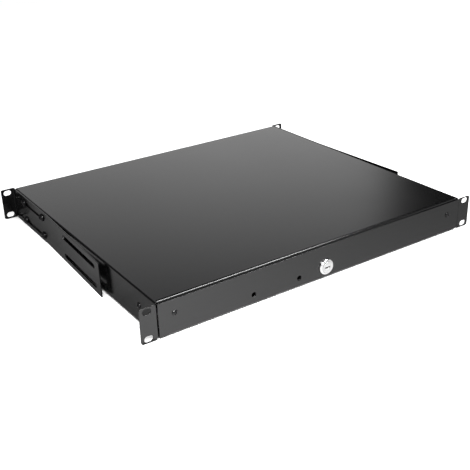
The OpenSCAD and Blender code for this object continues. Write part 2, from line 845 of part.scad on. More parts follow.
module lock_plug() {
    color(chrome) lock_place() difference() {
        union() {
            translate([0, 0, -lock_len]) cylinder(d = plug_d, h = lock_len + head_seat);
            translate([0, 0, head_seat]) cylinder(d = plug_head_d, h = plug_head_h);
            translate([0, 0, -lock_len - tang_len / 2]) cube([tang_w, tang_w, tang_len], center = true);
        }
        translate([0, 0, plug_face - keyway_depth / 2 + over / 2])
            cube([keyway_l, keyway_w, keyway_depth + over], center = true);
        wafer_places()
            cube([plug_d + over, wafer_w + thread_gap * 2, wafer_t + thread_gap * 2], center = true);
        translate([0, 0, -lock_len - tang_len - over])
            cylinder(d = cam_screw_d + thread_gap * 2, h = tang_len + over * 3);
    }
}

module lock_wafers() {
    color(brass) lock_place() wafer_places() difference() {
        cube([wafer_l, wafer_w, wafer_t], center = true);
        cube([keyway_l, keyway_w, wafer_t + over], center = true);
    }
}

// The cam lies behind the lock's body, and its tip is set forward to reach close behind the lip
module lock_cam() {
    back = cam_back_y + cam_t;
    color(zinc) translate([0, 0, lock_z]) difference() {
        union() {
            along_y(cam_back_y, back) {
                circle(d = cam_w);
                translate([0, -cam_w / 2]) square([cam_jog_start, cam_w]);
            }
            translate([0, 0, -cam_w / 2]) linear_extrude(cam_w) polygon([
                [cam_jog_start, cam_back_y], [cam_jog_end, cam_tip_y], [cam_end_x, cam_tip_y],
                [cam_end_x, cam_tip_y + cam_t], [cam_jog_end + cam_t / 3, cam_tip_y + cam_t],
                [cam_jog_start + cam_t / 3, back], [cam_jog_start, back]
            ]);
            along_y(cam_tip_y, cam_tip_y + cam_t) {
                for (s = [-1, 1]) translate([cam_end_x, s * cam_w / 4]) circle(d = cam_w / 2);
                translate([cam_end_x, -cam_w / 4]) square([cam_w / 4, cam_w / 2]);
            }
        }
        along_y(cam_back_y - over, back + over) square(tang_w + hole_gap, center = true);
    }
}

module lock_stop_washer() {
    back = cam_back_y + cam_t;
    color(zinc) translate([0, 0, lock_z]) along_y(back, back + stop_t) difference() {
        circle(d = stop_d);
        square(tang_w + hole_gap, center = true);
    }
}

module lock_cam_screw() {
    color(zinc) translate([0, cam_back_y + cam_t + stop_t, lock_z]) rotate([-90, 0, 0])
        pan_screw(cam_head_d, cam_head_h, cam_screw_d, cam_t + stop_t);
}

chassis_shell();
rear_panel();
rear_panel_screws();
left_outer_slide();
right_outer_slide();
slide_fixing_screws();
left_rear_bracket();
right_rear_bracket();
bracket_screws();
bracket_washers();
bracket_clinch_nuts();
drawer_tray();
drawer_fascia();
fascia_screws();
fascia_nuts();
left_inner_slide();
right_inner_slide();
inner_slide_screws();
left_middle_slide();
right_middle_slide();
left_outer_ball_cage();
right_outer_ball_cage();
left_outer_balls();
right_outer_balls();
left_inner_ball_cage();
right_inner_ball_cage();
left_inner_balls();
right_inner_balls();
lock_housing();
lock_nut();
lock_plug();
lock_wafers();
lock_cam();
lock_stop_washer();
lock_cam_screw();
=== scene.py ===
"""The looks of the rack drawer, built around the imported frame."""
import json
import math

import bmesh
import bpy
from mathutils import Matrix, Vector
from mathutils.bvhtree import BVHTree


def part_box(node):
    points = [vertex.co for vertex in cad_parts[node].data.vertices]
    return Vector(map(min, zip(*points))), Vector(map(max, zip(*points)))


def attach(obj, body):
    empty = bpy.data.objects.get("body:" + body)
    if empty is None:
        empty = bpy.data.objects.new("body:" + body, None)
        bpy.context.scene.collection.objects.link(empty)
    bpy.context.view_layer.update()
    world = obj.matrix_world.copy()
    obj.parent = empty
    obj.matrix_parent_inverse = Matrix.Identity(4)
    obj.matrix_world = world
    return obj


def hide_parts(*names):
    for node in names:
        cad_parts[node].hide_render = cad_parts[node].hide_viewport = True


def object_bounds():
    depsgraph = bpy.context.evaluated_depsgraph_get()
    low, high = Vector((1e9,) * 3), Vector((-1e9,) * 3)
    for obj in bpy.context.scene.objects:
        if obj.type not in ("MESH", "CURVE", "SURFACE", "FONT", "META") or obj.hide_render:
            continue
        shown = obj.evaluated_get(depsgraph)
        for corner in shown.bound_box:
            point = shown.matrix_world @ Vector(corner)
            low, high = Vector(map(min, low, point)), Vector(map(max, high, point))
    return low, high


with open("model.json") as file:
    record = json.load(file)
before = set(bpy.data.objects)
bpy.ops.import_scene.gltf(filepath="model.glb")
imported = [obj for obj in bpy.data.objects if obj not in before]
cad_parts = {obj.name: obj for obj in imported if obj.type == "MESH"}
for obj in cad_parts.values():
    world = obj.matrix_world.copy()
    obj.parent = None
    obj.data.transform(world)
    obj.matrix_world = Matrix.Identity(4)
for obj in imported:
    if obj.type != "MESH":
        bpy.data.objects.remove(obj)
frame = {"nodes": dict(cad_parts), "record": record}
cad_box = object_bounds()
NODES = frame["nodes"]
SLOT_OF = {row["node"]: row["material_slot"] for row in frame["record"]["subparts"]}
BODIES = frame["record"]["behaviour"]["bodies"]
BODY_OF = {node: body for body, nodes in BODIES.items() for node in nodes}
scene = bpy.context.scene
MM = 0.001

# Camera, solved from the rack slots in the photograph.
# AIM is where the camera sees the slots' middle, in metres along its own three axes.
AZIMUTH, ELEVATION, ROLL = map(math.radians, (-33.411, 25.13, -1.937))
AIM = Vector((0.104354, -0.03047, -0.919638))
FOCAL_PX, IMAGE_PX, SENSOR_MM = 797.615, 470, 36
CLIP_NEAR, CLIP_FAR = 0.01, 50
# The slots are seen on the front faces of the ears, which stand in front of the frame's origin
EAR_FRONT = Vector((0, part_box("chassis_shell")[0].y, 0))


def make_camera():
    """The camera of the photograph."""
    back = Vector((
        math.sin(AZIMUTH) * math.cos(ELEVATION),
        -math.cos(AZIMUTH) * math.cos(ELEVATION),
        math.sin(ELEVATION),
    ))
    level = Vector((0, 0, 1)).cross(back).normalized()
    upright = back.cross(level)
    right = math.cos(ROLL) * level + math.sin(ROLL) * upright
    up = -math.sin(ROLL) * level + math.cos(ROLL) * upright
    axes = Matrix((right, up, back)).transposed()
    data = bpy.data.cameras.new("camera")
    data.sensor_width = SENSOR_MM
    data.lens = FOCAL_PX / IMAGE_PX * SENSOR_MM
    data.clip_start, data.clip_end = CLIP_NEAR, CLIP_FAR
    camera = bpy.data.objects.new("camera", data)
    camera.matrix_world = Matrix.Translation(EAR_FRONT - axes @ AIM) @ axes.to_4x4()
    scene.collection.objects.link(camera)
    scene.camera = camera


make_camera()
scene.view_settings.view_transform = "Standard"


# Shader nodes
BEVEL_SAMPLES = 6
# Agreement of the rounded and the plain normal between an edge and a flat
EDGE_SPAN = (0.75, 0.99)
# Most noise lies between these values
NOISE_SPAN = (0.3, 0.7)
# The first input and the output that each kind of mix node uses
MIX_SOCKETS = {"RGBA": (6, 2), "FLOAT": (2, 0)}


class Nodes:
    """A short way to build the node tree of a material or a world around its shader."""

    def __init__(self, owner, shader):
        owner.use_nodes = True
        self.owner = owner
        self.tree = owner.node_tree
        self.shader = self.tree.nodes[shader]

    def add(self, kind, **settings):
        """A new node, with its sockets and properties set by name."""
        node = self.tree.nodes.new(kind)
        for name, value in settings.items():
            if name in node.inputs:
                node.inputs[name].default_value = value
            else:
                setattr(node, name, value)
        return node

    def feed(self, socket, source):
        """Gives a socket a number, a colour or another node's output."""
        if isinstance(source, bpy.types.NodeSocket):
            self.tree.links.new(source, socket)
        elif isinstance(source, tuple):
            socket.default_value = (*source, 1)
        else:
            socket.default_value = source

    def shade(self, name, source):
        """Feeds a socket of the shader."""
        self.feed(self.shader.inputs[name], source)

    def coords(self, stretch=(1, 1, 1)):
        """Object coordinates, stretched."""
        texture = self.add("ShaderNodeTexCoord")
        mapping = self.add("ShaderNodeMapping", Scale=stretch)
        self.feed(mapping.inputs["Vector"], texture.outputs["Object"])
        return mapping.outputs["Vector"]

    def axes(self, source):
        """The X, Y and Z of a vector."""
        node = self.add("ShaderNodeSeparateXYZ")
        self.feed(node.inputs[0], source)
        return node.outputs

    def noise(self, scale, detail, rough, stretch=(1, 1, 1)):
        """Noise with about scale cells to a metre."""
        node = self.add("ShaderNodeTexNoise", Scale=scale, Detail=detail, Roughness=rough)
        self.feed(node.inputs["Vector"], self.coords(stretch))
        return node.outputs["Fac"]

    def ramp(self, source, span, values):
        """Goes from the first value to the second one while the source crosses the span."""
        node = self.add("ShaderNodeMapRange", clamp=True)
        for end, at, value in zip(("Min", "Max"), span, values):
            node.inputs["From " + end].default_value = at
            node.inputs["To " + end].default_value = value
        self.feed(node.inputs["Value"], source)
        return node.outputs["Result"]

    def mix(self, factor, first, second, kind="RGBA"):
        """Goes from one colour or number to another as the factor goes from 0 to 1."""
        node = self.add("ShaderNodeMix", data_type=kind)
        low, result = MIX_SOCKETS[kind]
        self.feed(node.inputs["Factor"], factor)
        self.feed(node.inputs[low], first)
        self.feed(node.inputs[low + 1], second)
        return node.outputs[result]

    def combine(self, operation, *sources):
        """Applies a math operation to one source, or from source to source along a row of them."""
        result = sources[0]
        for source in sources[1:] or (None,):
            node = self.add("ShaderNodeMath", operation=operation)
            self.feed(node.inputs[0], result)
            if source is not None:
                self.feed(node.inputs[1], source)
            result = node.outputs[0]
        return result

    def bump(self, source, height, strength, normal=None):
        """A normal that follows the source as relief of the given height."""
        node = self.add("ShaderNodeBump", Strength=strength, Distance=height)
        self.feed(node.inputs["Height"], source)
        if normal:
            self.feed(node.inputs["Normal"], normal)
        return node.outputs["Normal"]

    def rounded(self, radius):
        """A normal that rounds the edges off."""
        return self.add("ShaderNodeBevel", Radius=radius, samples=BEVEL_SAMPLES).outputs["Normal"]

    def edge(self, radius):
        """Near 1 along the edges of a piece and 0 on its flats."""
        geometry = self.add("ShaderNodeNewGeometry")
        dot = self.add("ShaderNodeVectorMath", operation="DOT_PRODUCT")
        self.feed(dot.inputs[0], self.rounded(radius))
        self.feed(dot.inputs[1], geometry.outputs["Normal"])
        return self.ramp(dot.outputs["Value"], EDGE_SPAN, (1, 0))

    def openness(self, distance, samples, span):
        """0 in gaps narrower than the distance and 1 in the open."""
        node = self.add("ShaderNodeAmbientOcclusion", Distance=distance, samples=samples)
        return self.ramp(node.outputs["AO"], span, (0, 1))


def material(name):
    return Nodes(bpy.data.materials.new(name), "Principled BSDF")


# Materials
def powder_coat():
    """Glossy black powder coat, with fine grain, a soft orange peel and edges a little lighter than the
    flats.
    """
    dark, light, edge_tone = (0.0015, 0.0015, 0.0017), (0.0032, 0.0032, 0.0034), (0.007, 0.007, 0.007)
    n = material("powder_coat")
    grain = n.noise(scale=1400, detail=3, rough=0.6)
    cloud = n.noise(scale=9, detail=3, rough=0.5)
    base = n.mix(n.ramp(grain, (0.35, 0.7), (0, 1)), dark, light)
    # The edges are a little lighter than the flats
    n.shade("Base Color", n.mix(n.edge(0.5 * MM), base, edge_tone))
    n.shade("Roughness", n.ramp(cloud, NOISE_SPAN, (0.17, 0.2)))
    n.shade("IOR", 1.6)
    peel = n.bump(n.noise(scale=420, detail=2, rough=0.5), height=0.02 * MM, strength=0.35)
    n.shade("Normal", n.bump(grain, height=0.006 * MM, strength=0.3, normal=peel))
    return n.owner


def black_screw():
    """Smooth black finish of the screws."""
    dark, light = (0.003, 0.003, 0.0035), (0.006, 0.006, 0.0065)
    n = material("black_screw")
    cloud = n.noise(scale=700, detail=3, rough=0.6)
    n.shade("Base Color", n.mix(cloud, dark, light))
    n.shade("IOR", 1.45)
    n.shade("Roughness", n.ramp(cloud, NOISE_SPAN, (0.1, 0.16)))
    grain = n.noise(scale=2500, detail=2, rough=0.5)
    n.shade("Normal", n.bump(grain, height=0.006 * MM, strength=0.5, normal=n.rounded(0.2 * MM)))
    return n.owner


def zinc():
    """Zinc-plated steel, drawn along Y, with faint clouds of blue and yellow."""
    blue, yellow, dull = (0.50, 0.51, 0.54), (0.60, 0.60, 0.58), (0.42, 0.42, 0.43)
    n = material("zinc")
    drawn = n.noise(scale=220, detail=4, rough=0.65, stretch=(1, 0.02, 1))
    cloud = n.noise(scale=60, detail=3, rough=0.6)
    tint = n.mix(n.ramp(cloud, (0.35, 0.65), (0, 1)), blue, yellow)
    n.shade("Base Color", n.mix(n.ramp(drawn, NOISE_SPAN, (0, 0.35)), tint, dull))
    n.shade("Metallic", 1)
    n.shade("Roughness", n.ramp(drawn, NOISE_SPAN, (0.26, 0.38)))
    n.shade("Normal", n.bump(drawn, height=0.01 * MM, strength=0.5, normal=n.rounded(0.2 * MM)))
    return n.owner


def shaded(colour, share):
    return tuple(part * share for part in colour)


def polished(name, colour, rough):
    """Plated or bare metal, with painted shade that darkens it in its gaps."""
    n = material(name)
    n.shade("Metallic", 1)
    cloud = n.noise(scale=300, detail=3, rough=0.6)
    bright = n.mix(cloud, colour, shaded(colour, 0.94))
    # Painted shade: the colour darkens in gaps narrower than 1.5 mm, where light hardly reaches
    outside = n.openness(1.5 * MM, samples=8, span=(0.4, 0.85))
    n.shade("Base Color", n.mix(outside, shaded(colour, 0.06), bright))
    n.shade("Roughness", n.ramp(cloud, NOISE_SPAN, (rough, rough + 0.05)))
    grain = n.noise(scale=900, detail=2, rough=0.5)
    n.shade("Normal", n.bump(grain, height=0.004 * MM, strength=0.4, normal=n.rounded(0.25 * MM)))
    return n.owner


MATERIALS = {
    "powder_coat": powder_coat(),
    "black_screw": black_screw(),
    "zinc": zinc(),
    "bearing_steel": polished("bearing_steel", (0.72, 0.72, 0.74), rough=0.08),
    "lock_chrome": polished("lock_chrome", (0.93, 0.93, 0.93), rough=0.05),
    "brass": polished("brass", (0.45, 0.33, 0.13), rough=0.35),
}

for node in NODES:
    mesh = NODES[node].data
    mesh.materials.clear()
    mesh.materials.append(MATERIALS[SLOT_OF[node]])


# Pieces that stand for CAD nodes
# Points of a CAD mesh that are nearer than this become one
WELD = 0.002 * MM
# Angles between faces: up to the first they are joined, above the second their edge is rounded,
# and above the third it stays sharp in the shading
FLAT_ANGLE, CORNER_ANGLE, SMOOTH_ANGLE = map(math.radians, (0.3, 35, 50))
BEVEL_SEGMENTS = 2
# Share of the rounding's radius beyond which a point is too far from the surface
STRAY_SHARE = 0.6


def add_piece(bm, node):
    """Turns a mesh into the piece for a CAD node, with that node's body and the material of its slot."""
    mesh = bpy.data.meshes.new(node + "_piece")
    bm.normal_update()
    bm.to_mesh(mesh)
    bm.free()
    mesh.materials.append(MATERIALS[SLOT_OF[node]])
    for face in mesh.polygons:
        face.use_smooth = True
    mesh.set_sharp_from_angle(angle=SMOOTH_ANGLE)
    piece = bpy.data.objects.new(node + "_piece", mesh)
    scene.collection.objects.link(piece)
    flat = piece.modifiers.new("flat_faces", "WEIGHTED_NORMAL")
    flat.keep_sharp = True
    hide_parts(node)
    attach(piece, BODY_OF[node])


def dressed(node, radius, cutters=()):
    """A copy of a CAD node with its sharp edges rounded, as a stamped or turned piece has them."""
    bm = bmesh.new()
    bm.from_mesh(NODES[node].data)
    bmesh.ops.remove_doubles(bm, verts=bm.verts, dist=WELD)
    bmesh.ops.dissolve_limit(bm, angle_limit=FLAT_ANGLE, verts=bm.verts, edges=bm.edges)
    surface = BVHTree.FromBMesh(bm)
    low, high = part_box(node)
    sharp = [e for e in bm.edges if e.is_manifold and e.calc_face_angle(0) > CORNER_ANGLE]
    bmesh.ops.bevel(
        bm, geom=sharp, offset=radius, offset_type="OFFSET", segments=BEVEL_SEGMENTS, profile=0.5,
        affect="EDGES", clamp_overlap=False,
    )
    # A bevel throws a few points far out where two edges meet nearly in line.
    # They go back to the surface, and no point leaves the node's box.
    for vert in bm.verts:
        near, _, _, distance = surface.find_nearest(vert.co)
        place = near if distance > radius * STRAY_SHARE else vert.co
        vert.co = [min(max(place[i], low[i]), high[i]) for i in range(3)]
    if cutters:
        bm = carved(bm, cutters)
    add_piece(bm, node)


# Shapes, in millimetres
def turned(rings, closed=False):
    """Skins a row of rings of points. It ends in flat faces, or joins its last ring to its first."""
    bm = bmesh.new()
    rows = [[bm.verts.new(point) for point in ring] for ring in rings]
    count = len(rows[0])
    pairs = list(zip(rows, rows[1:]))
    if closed:
        pairs.append((rows[-1], rows[0]))
    for low, high in pairs:
        for i in range(count):
            j = (i + 1) % count
            bm.faces.new((low[i], low[j], high[j], high[i]))
    if not closed:
        bm.faces.new(list(reversed(rows[0])))
        bm.faces.new(rows[-1])
    bmesh.ops.recalc_face_normals(bm, faces=bm.faces)
    return bm


def ring(radius, z, sides):
    """Points around Z. The radius is a length, or a function of the angle and the height."""
    points = []
    for i in range(sides):
        angle = math.tau * i / sides
        r = radius(angle, z) if callable(radius) else radius
        points.append(Vector((r * math.cos(angle), r * math.sin(angle), z)))
    return points


def rings_of(outline, sides):
    """The rings of an outline, which is a row of radii and heights."""
    return [ring(radius, z, sides) for radius, z in outline]


def tooth(turns):
    """A wave that falls from 1 to 0 and rises back to 1 in each turn."""
    return abs(2 * (turns % 1) - 1)


def thread(radius, pitch, depth):
    """The radius of a screw thread at an angle and a height. Its crests lie at the given radius."""
    def at(angle, z):
        return radius - depth * tooth(z / pitch - angle / math.tau)
    return at


def heights(low, high, step):
    """Heights from low to high, about a step apart."""
    count = max(2, round((high - low) / step))
    return [low + (high - low) * i / count for i in range(count + 1)]


def carved(bm, cutters):
    """Cuts other meshes out of a mesh, one after the other."""
    def temporary(source):
        mesh = bpy.data.meshes.new("temporary")
        source.to_mesh(mesh)
        source.free()
        obj = bpy.data.objects.new("temporary", mesh)
        scene.collection.objects.link(obj)
        return obj

    body = temporary(bm)
    tools = [temporary(cutter) for cutter in cutters]
    for tool in tools:
        cut = body.modifiers.new("cut", "BOOLEAN")
        cut.operation = "DIFFERENCE"
        cut.solver = "EXACT"
        cut.object = tool
    bpy.context.view_layer.update()
    result = bmesh.new()
    result.from_object(body, bpy.context.evaluated_depsgraph_get())
    for obj in (body, *tools):
        mesh = obj.data
        bpy.data.objects.remove(obj)
        bpy.data.meshes.remove(mesh)
    return result


def tapered_bar(foot, mouth, low, high):
    """A bar whose length and width change from its foot at low to its mouth at high."""
    bm = bmesh.new()
    rows = []
    for (length, width), z in ((foot, low), (mouth, high)):
        corners = ((-1, -1), (1, -1), (1, 1), (-1, 1))
        rows.append([bm.verts.new((x * length / 2, y * width / 2, z)) for x, y in corners])
    for i in range(4):
        j = (i + 1) % 4
        bm.faces.new((rows[0][i], rows[0][j], rows[1][j], rows[1][i]))
    bm.faces.new(list(reversed(rows[0])))
    bm.faces.new(rows[1])
    return bm


def turn_about_z(bm, degrees):
    bmesh.ops.transform(bm, matrix=Matrix.Rotation(math.radians(degrees), 4, "Z"), verts=bm.verts)
    return bm


def facing(direction):
    """Turns Z towards a level direction, with X kept level."""
    z = Vector(direction).normalized()
    x = Vector((0, 0, 1)).cross(z).normalized()
    return Matrix((x, z.cross(x), z)).transposed().to_4x4()


def seat_at(point, direction):
    """Takes a shape in millimetres to a point, with its Z towards a direction, in metres."""
    return Matrix.Scale(MM, 4) @ Matrix.Translation(point) @ facing(direction)


def set_of(node, shape, places):
    """The piece for a node of alike parts: one shape at several places, each a point and a direction."""
    bm = bmesh.new()
    for place in places:
        mesh = bpy.data.meshes.new("part")
        shape.to_mesh(mesh)
        mesh.transform(seat_at(*place))
        bm.from_mesh(mesh)
        bpy.data.meshes.remove(mesh)
    shape.free()
    add_piece(bm, node)


# Width of a broken edge, and the share of it at which the edge turns over
EDGE, TURN_SHARE = 0.18, 0.3
# Rings that a thread has in each turn
THREAD_STEPS = 4


# Pan head screws. Z points out of the head and is 0 at its seat.
SCREW_SIDES = 32
RIM_HEIGHT = 0.4
# Shares of the shank's diameter
THREAD_PITCH_SHARE, THREAD_DEPTH_SHARE = 0.18, 0.1
# The tip's radius as a share of the shank's
TIP_SHARE = 0.7
# Radii of the dome's rings as shares of the head's
DOME_SHARES = (0.95, 0.88, 0.78, 0.66, 0.52, 0.36, 0.18)
# The cross recess: height of its floor as a share of the head's height, and lengths and widths of
# its two wings and of the well between them, at mouth and floor, as shares of the head's diameter
RECESS_FLOOR_SHARE = 0.38
WING_MOUTH_SHARES, WING_FOOT_SHARES = (0.6, 0.19), (0.26, 0.12)
WELL_MOUTH_SHARES, WELL_FOOT_SHARES = (0.32, 0.32), (0.16, 0.16)


def shank_rings(diameter, length):
    """Rings up a threaded shank, from its tip to the head's seat."""
    r = diameter / 2
    pitch = diameter * THREAD_PITCH_SHARE
    worm = thread(r, pitch, diameter * THREAD_DEPTH_SHARE)
    outline = [(r * TIP_SHARE, -length)]
    outline += [(worm, z) for z in heights(-length + r * (1 - TIP_SHARE), -EDGE, pitch / THREAD_STEPS)]
    outline += [(r, -EDGE / 2), (r, 0)]
    return rings_of(outline, SCREW_SIDES)


def head_rings(diameter, height):
    """Rings up a domed head, from its seat to near its top."""
    r = diameter / 2
    rise = height - RIM_HEIGHT
    dome_r = (r * r + rise * rise) / (2 * rise)

    def cap(radius):
        return height - dome_r + math.sqrt(dome_r * dome_r - radius * radius)

    turn = EDGE * TURN_SHARE
    outline = [(r - EDGE, 0), (r - turn, turn), (r, EDGE), (r, RIM_HEIGHT - EDGE)]
    outline.append((r - turn, cap(r - turn) - turn))
    outline += [(r * share, cap(r * share)) for share in DOME_SHARES]
    return rings_of(outline, SCREW_SIDES)


def cross_recess(head_d, head_h, turn):
    """The meshes to cut out of a head, with their wings turned by an angle in degrees."""
    low, high = head_h * RECESS_FLOOR_SHARE, head_h + EDGE

    def bar(foot_shares, mouth_shares, degrees):
        foot, mouth = ([head_d * share for share in shares] for shares in (foot_shares, mouth_shares))
        return turn_about_z(tapered_bar(foot, mouth, low, high), degrees)

    wings = [bar(WING_FOOT_SHARES, WING_MOUTH_SHARES, turn + degrees) for degrees in (0, 90)]
    return [*wings, bar(WELL_FOOT_SHARES, WELL_MOUTH_SHARES, turn + 45)]


def pan_screw(head_d, head_h, shank_d, shank_len, turn=45):
    """A pan head screw with a thread and a cross recess."""
    screw = turned(shank_rings(shank_d, shank_len) + head_rings(head_d, head_h))
    return carved(screw, cross_recess(head_d, head_h, turn))


# Nuts and washers, from a low to a high face along Z
NUT_SIDES = 72
# Depth of a bore's thread as a share of its pitch
BORE_DEPTH_SHARE = 0.4
# Radius at which a hexagon nut's faces end, as a share of its width, and the slope beyond it
FACE_SHARE, FACE_SLOPE = 0.48, 1.73
# Height of the turned-down corners as a share of the nut's width, and where their rings are in it
CROWN_SHARE, CROWN_STEPS = 0.06, (0, 0.35, 0.7, 1)


def bore_rings(radius, low, high, pitch):
    """Rings down a threaded bore, from its high end to its low end."""
    depth = pitch * BORE_DEPTH_SHARE
    worm = thread(radius + depth, pitch, depth)
    outline = [(radius + depth, high)]
    outline += [(worm, z) for z in reversed(heights(low + depth, high - depth, pitch / THREAD_STEPS))]
    outline.append((radius + depth, low))
    return rings_of(outline, NUT_SIDES)


def hex_nut(width, low, high, bore_r, pitch):
    """A hexagon nut with its corners turned down towards both faces."""
    def outside(angle, z):
        flat = width / 2 / math.cos(angle % (math.pi / 3) - math.pi / 6)
        return min(flat, width * FACE_SHARE + min(z - low, high - z) * FACE_SLOPE)

    crown = width * CROWN_SHARE
    levels = [low + crown * step for step in CROWN_STEPS]
    levels += [high - crown * step for step in reversed(CROWN_STEPS)]
    rings = rings_of([(outside, z) for z in levels], NUT_SIDES)
    return turned(rings + bore_rings(bore_r, low, high, pitch), closed=True)


# The collar that a clinch nut presses into the sheet, and the groove under it
COLLAR_TEETH, COLLAR_BITE, COLLAR_H = 24, 0.22, 0.8
GROOVE_H, GROOVE_SLANT = 0.4, 0.1


def clinch_nut(diameter, low, high, bore_r, pitch):
    """A round nut with a serrated collar at its high end, where it bites into the sheet."""
    r = diameter / 2

    def collar(angle, z):
        return r - COLLAR_BITE * tooth(angle / math.tau * COLLAR_TEETH)

    collar_low = high - COLLAR_H
    groove_low = collar_low - GROOVE_H
    groove_r = r - COLLAR_BITE * 2
    outline = [(r - EDGE, low), (r, low + EDGE), (r, groove_low), (groove_r, groove_low + GROOVE_SLANT)]
    outline += [(groove_r, collar_low - GROOVE_SLANT), (collar, collar_low), (collar, high)]
    return turned(rings_of(outline, NUT_SIDES) + bore_rings(bore_r, low, high, pitch), closed=True)


def washer(diameter, low, high, bore_r):
    """A stamped washer, with a rounded edge around its high face and its bore."""
    r, turn = diameter / 2, EDGE * TURN_SHARE
    outline = [(r, low), (r, high - EDGE), (r - turn, high - turn), (r - EDGE, high)]
    outline += [(bore_r + EDGE / 2, high), (bore_r, high - EDGE / 2), (bore_r, low)]
    return turned(rings_of(outline, NUT_SIDES), closed=True)


# Sizes and places, in millimetres
def lowest(node, axis):
    """Where the box of a CAD node starts along an axis."""
    return round(getattr(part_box(node)[0], axis) / MM, 3)


def highest(node, axis):
    """Where the box of a CAD node ends along an axis."""
    return round(getattr(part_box(node)[1], axis) / MM, 3)


def middle(node, axis):
    return (lowest(node, axis) + highest(node, axis)) / 2


HALF_W, INNER_W = lowest("right_rear_bracket", "x"), highest("right_outer_slide", "x")
SHEET = HALF_W - INNER_W
TOP_Z, BOTTOM_Z = highest("chassis_shell", "z"), lowest("drawer_fascia", "z")
CHASSIS_BACK, PANEL_BACK = lowest("rear_panel", "y"), highest("rear_panel", "y")
SLIDE_FRONT, SLIDE_BACK = lowest("right_outer_slide", "y"), highest("right_outer_slide", "y")
SLIDE_Z = middle("right_outer_slide", "z")
TRAY_HALF, TRAY_FRONT = highest("drawer_tray", "x"), lowest("drawer_tray", "y")
FASCIA_HALF, FASCIA_FRONT = highest("drawer_fascia", "x"), lowest("drawer_fascia", "y")
FASCIA_T = TRAY_FRONT - FASCIA_FRONT
TRAY_T = lowest("fascia_nuts", "y") - TRAY_FRONT
FASCIA_NUT_H = highest("fascia_nuts", "y") - lowest("fascia_nuts", "y")
FASCIA_SCREW_Z = middle("fascia_nuts", "z")
WASHER_FACE = highest("bracket_washers", "x")
LOCK_Z = middle("lock_nut", "z")
LOCK_NUT_H = highest("lock_nut", "y") - lowest("lock_nut", "y")
LOCK_LEN = highest("lock_housing", "y") - FASCIA_FRONT
CAM_STACK_BACK = highest("lock_stop_washer", "y")
FLANGE_R, FLANGE_H = highest("lock_housing", "x"), FASCIA_FRONT - lowest("lock_housing", "y")
PLUG_HEAD_R, PLUG_FACE = highest("lock_plug", "x"), FASCIA_FRONT - lowest("lock_plug", "y")
# Sizes that no box shows, as in the CAD model
RAIL_T, BRACKET_T = 1.2, 1.5
PANEL_SCREW_INSET, FASCIA_SCREW_INSET = 7.2, 19.4
OUTER_SHARES, INNER_SHARES = (0.11, 0.64), (0.16, 0.72)
BRACKET_SCREW_BACK, BRACKET_SCREW_PITCH, ADJUST_Z = 36.7, 63, 12.5
# Pan head screws: head diameter, head height and shank diameter
PANEL_SCREW, SLIDE_SCREW, BRACKET_SCREW = (7, 1.54, 3.5), (7, 2, 3.9), (9, 2.8, 4.8)
FASCIA_SCREW, CAM_SCREW = (7.2, 2.2, 3.9), (8, 2.4, 3.9)
PANEL_SCREW_LEN, CAM_SCREW_LEN = 6, 3
# Lengths by which screws stand out of what they hold
PAST_OUTER_SLIDE, PAST_INNER_SLIDE, PAST_NUT = 0.3, 0.6, 0.5
# Turn of the fascia screws' recesses, in degrees
FASCIA_SCREW_TURN = 65
# Washers and nuts: diameter or width, and the nuts' bore radius
WASHER_D = 10
CLINCH_D, CLINCH_H, CLINCH_BORE_R = 9, 3, 2.45
FASCIA_NUT_W, FASCIA_BORE_R = 7, 2
# Details that only this script has: the washers' bore radius, the nuts' thread pitches, and how far
# the washers are drawn clear of the bracket that slides under them
WASHER_BORE_R, CLINCH_PITCH, FASCIA_PITCH = 2.65, 0.8, 0.7
SLIP_GAP = 0.02
RIGHT, FRONT, BACK = Vector((1, 0, 0)), Vector((0, -1, 0)), Vector((0, 1, 0))


def both_sides(x, ys, zs, outwards):
    """Places at alike points of both sides, which point away from the middle plane or towards it."""
    sign = 1 if outwards else -1
    return [((side * x, y, z), RIGHT * side * sign) for side in (-1, 1) for y in ys for z in zs]


def make_panel_screws():
    """Three screws along the rear panel's top and one near each lower corner."""
    top, low = TOP_Z - PANEL_SCREW_INSET, BOTTOM_Z / 2
    places = [((HALF_W * share, PANEL_BACK, top), BACK) for share in (-2 / 3, 0, 2 / 3)]
    places += [((side * (HALF_W - PANEL_SCREW_INSET), PANEL_BACK, low), BACK) for side in (-1, 1)]
    set_of("rear_panel_screws", pan_screw(*PANEL_SCREW, PANEL_SCREW_LEN), places)


def make_slide_screws():
    """Screws through the chassis into the outer slides, and through the tray into the inner ones."""
    outer_ys, inner_ys = (
        [SLIDE_FRONT + (SLIDE_BACK - SLIDE_FRONT) * share for share in shares]
        for shares in (OUTER_SHARES, INNER_SHARES)
    )
    outer = both_sides(HALF_W, outer_ys, [SLIDE_Z], outwards=True)
    shank = SHEET + RAIL_T + PAST_OUTER_SLIDE
    set_of("slide_fixing_screws", pan_screw(*SLIDE_SCREW, shank), outer)
    inner = both_sides(TRAY_HALF - TRAY_T, inner_ys, [SLIDE_Z], outwards=False)
    shank = TRAY_T + RAIL_T + PAST_INNER_SLIDE
    set_of("inner_slide_screws", pan_screw(*SLIDE_SCREW, shank), inner)


def make_bracket_fasteners():
    """The screws and washers in the brackets' slots, and the nuts in the chassis behind them."""
    rear_y = CHASSIS_BACK - BRACKET_SCREW_BACK

    def seats(x):
        return both_sides(x, (rear_y - BRACKET_SCREW_PITCH, rear_y), (-ADJUST_Z, ADJUST_Z), outwards=True)

    bracket_face = HALF_W + BRACKET_T
    shank = WASHER_FACE - INNER_W + CLINCH_H
    set_of("bracket_screws", pan_screw(*BRACKET_SCREW, shank), seats(WASHER_FACE))
    flat_ring = washer(WASHER_D, SLIP_GAP, WASHER_FACE - bracket_face, WASHER_BORE_R)
    set_of("bracket_washers", flat_ring, seats(bracket_face))
    nut = clinch_nut(CLINCH_D, -CLINCH_H, 0, CLINCH_BORE_R, CLINCH_PITCH)
    set_of("bracket_clinch_nuts", nut, seats(INNER_W))


